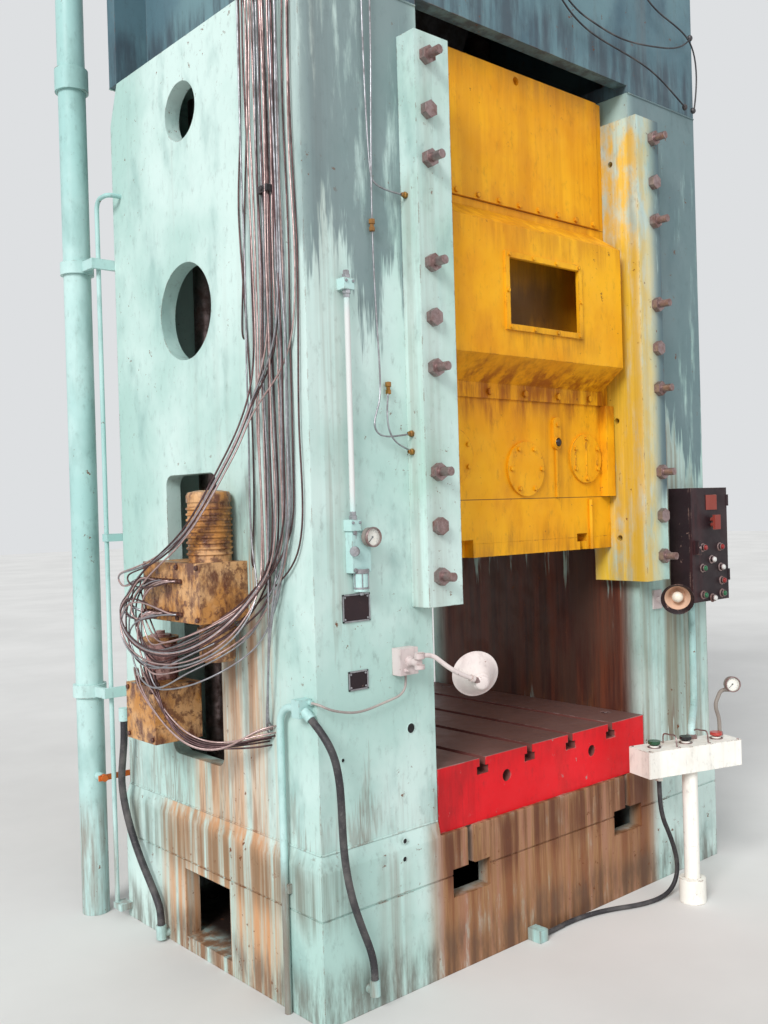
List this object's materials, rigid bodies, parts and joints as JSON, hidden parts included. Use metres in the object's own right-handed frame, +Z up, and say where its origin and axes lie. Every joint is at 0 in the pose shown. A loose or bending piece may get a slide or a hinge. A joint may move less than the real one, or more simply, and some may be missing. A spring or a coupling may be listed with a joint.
{
  "type": "knuckle-joint press",
  "caption": "Straight-sided knuckle-joint press with guided slide, bolster, rear eccentric drive, side lubrication pumps, lamps and a push-button console.",
  "frame": {"origin": "on the floor under the ram axis, at the middle of the bed", "axes": "+X to the operator's right, +Y to the rear, +Z up"},
  "size_m": [2.792, 2.8504, 4.705],
  "materials": {
    "mint_paint": "aged gloss paint",
    "yellow_paint": "aged gloss paint",
    "red_paint": "gloss paint",
    "oily_yellow": "oily worn paint",
    "pale_enamel": "enamel",
    "off_white": "worn paint",
    "dark_paint": "satin",
    "lever_paint": "satin",
    "pointer_paint": "matt",
    "gauge_case": "satin",
    "bare_steel": "machined",
    "rusty_steel": "worn",
    "line_metal": "dull",
    "cast_iron": "machined and oily",
    "bronze": "turned",
    "rubber": "matt",
    "pale_plastic": "matt",
    "button_plastic": "gloss",
    "button_red": "gloss"
  },
  "bodies": {
    "frame": {"bed": "mint_paint", "left_column": "mint_paint", "right_column": "mint_paint", "crown": "mint_paint", "tie_rods": "bare_steel", "gibs": "mint_paint", "gib_fasteners": "rusty_steel", "bolster": "red_paint", "bolster_screws": "bare_steel", "crown_block": "cast_iron", "crown_pin": "bare_steel", "shaft_brackets": "mint_paint", "shaft_bushes": "bronze", "motor": "mint_paint", "v_belts": "rubber", "belt_guard": "yellow_paint", "brake_cover": "mint_paint", "lube_pumps": "oily_yellow", "lube_lines": "line_metal", "air_riser": "mint_paint", "riser_fittings": "mint_paint", "conduits": "mint_paint", "filter_unit": "mint_paint", "gauges": "gauge_case", "lamp_brackets": "pale_enamel", "console_pedestal": "off_white", "console_box": "off_white", "control_box": "dark_paint", "console_hose": "rubber", "corner_hose": "rubber", "drain_hose": "rubber", "lamp_cable": "pale_plastic"},
    "crank": {"eccentric_shaft": "bare_steel", "brake_disc": "cast_iron", "clutch_drum": "cast_iron"},
    "pitman": {"pitman": "cast_iron"},
    "upper_link": {"upper_link": "cast_iron", "knuckle_pin": "bare_steel", "upper_link_bush": "bronze"},
    "lower_link": {"lower_link": "cast_iron", "lower_link_bushes": "bronze"},
    "slide": {"slide": "yellow_paint", "wrist_pin": "bare_steel", "slide_cover": "yellow_paint", "slide_hood": "yellow_paint", "slide_fittings": "yellow_paint", "slide_screws": "yellow_paint", "die_holder": "yellow_paint"},
    "flywheel": {"flywheel": "cast_iron"},
    "motor_pulley": {"motor_pulley": "cast_iron"},
    "lamp_arm": {"lamp_arm": "pale_enamel"},
    "lamp_shade": {"lamp_shade": "pale_enamel"},
    "right_lamp": {"right_lamp": "pale_enamel"},
    "start_button": {"start_button": "button_plastic"},
    "jog_button": {"jog_button": "button_plastic"},
    "stop_button": {"stop_button": "button_red"},
    "control_door": {"control_door": "dark_paint"},
    "valve_lever": {"valve_lever": "lever_paint"},
    "filter_pointer": {"filter_pointer": "pointer_paint"},
    "console_pointer": {"console_pointer": "pointer_paint"}
  },
  "joints": [
    {"name": "crank", "type": "hinge", "parent": "frame", "child": "crank", "pos_m": [0, 1.10479, 3.395], "axis": [1, 0, 0], "range_deg": [0, 180]},
    {"name": "pitman_swing", "type": "hinge", "parent": "crank", "child": "pitman", "pos_m": [0, 1.23174, 3.395], "axis": [1, 0, 0], "range_deg": [-177, 0]},
    {"name": "upper_link_swing", "type": "hinge", "parent": "frame", "child": "upper_link", "pos_m": [0, 0, 3.85], "axis": [1, 0, 0], "range_deg": [-29, 0]},
    {"name": "lower_link_swing", "type": "hinge", "parent": "upper_link", "child": "lower_link", "pos_m": [0, 0.25174, 3.395], "axis": [1, 0, 0], "range_deg": [0, 58]},
    {"name": "slide_wrist", "type": "hinge", "parent": "lower_link", "child": "slide", "pos_m": [0, 0, 2.94], "axis": [1, 0, 0], "range_deg": [-29, 0]},
    {"name": "flywheel_spin", "type": "hinge", "parent": "frame", "child": "flywheel", "pos_m": [1.29, 1.10479, 3.395], "axis": [1, 0, 0], "continuous": true},
    {"name": "pulley_spin", "type": "hinge", "parent": "frame", "child": "motor_pulley", "pos_m": [1.29, 0, 4.4], "axis": [1, 0, 0], "continuous": true},
    {"name": "lamp_arm_swing", "type": "hinge", "parent": "frame", "child": "lamp_arm", "pos_m": [-0.752, -0.715, 1.121], "axis": [0, 0, 1], "range_deg": [-90, 15]},
    {"name": "lamp_shade_turn", "type": "hinge", "parent": "lamp_arm", "child": "lamp_shade", "pos_m": [-0.5176, -0.76717, 1.00892], "axis": [0.9207, -0.0689, -0.3842], "range_deg": [-45, 45]},
    {"name": "right_lamp_swing", "type": "hinge", "parent": "frame", "child": "right_lamp", "pos_m": [0.72, -0.69, 1.2], "axis": [0, 0, 1], "range_deg": [-20, 25]},
    {"name": "start_button_press", "type": "slide", "parent": "frame", "child": "start_button", "axis": [0, 0, -1], "range_m": [0, 0.006], "stiffness_N_per_m": 800, "springref_m": -0.005},
    {"name": "jog_button_press", "type": "slide", "parent": "frame", "child": "jog_button", "axis": [0, 0, -1], "range_m": [0, 0.006], "stiffness_N_per_m": 800, "springref_m": -0.005},
    {"name": "stop_button_press", "type": "slide", "parent": "frame", "child": "stop_button", "axis": [0, 0, -1], "range_m": [0, 0.006], "stiffness_N_per_m": 800, "springref_m": -0.005},
    {"name": "control_door_hinge", "type": "hinge", "parent": "frame", "child": "control_door", "pos_m": [1.114, -0.7343, 1.404], "axis": [0, 0, 1], "range_deg": [0, 110]},
    {"name": "valve_lever_turn", "type": "hinge", "parent": "frame", "child": "valve_lever", "pos_m": [-1.195, 0.6757, 0.56], "axis": [0, 1, 0], "range_deg": [0, 90]},
    {"name": "filter_pointer_turn", "type": "hinge", "parent": "frame", "child": "filter_pointer", "pos_m": [-0.914, -0.687, 1.513], "axis": [0, -1, 0], "range_deg": [-270, 0], "stiffness_Nm_per_rad": 0.002},
    {"name": "console_pointer_turn", "type": "hinge", "parent": "frame", "child": "console_pointer", "pos_m": [0.81885, -0.91234, 0.8359], "axis": [-0.6215, -0.7818, 0.0501], "range_deg": [-270, 0], "stiffness_Nm_per_rad": 0.002}
  ],
  "couplings": [
    {"joint": "pitman_swing", "follows": "crank", "ratio": -0.97887},
    {"joint": "upper_link_swing", "follows": "crank", "ratio": -0.16086},
    {"joint": "lower_link_swing", "follows": "crank", "ratio": 0.32172},
    {"joint": "slide_wrist", "follows": "crank", "ratio": -0.16086},
    {"joint": "pulley_spin", "follows": "flywheel_spin", "ratio": 4.9568}
  ]
}
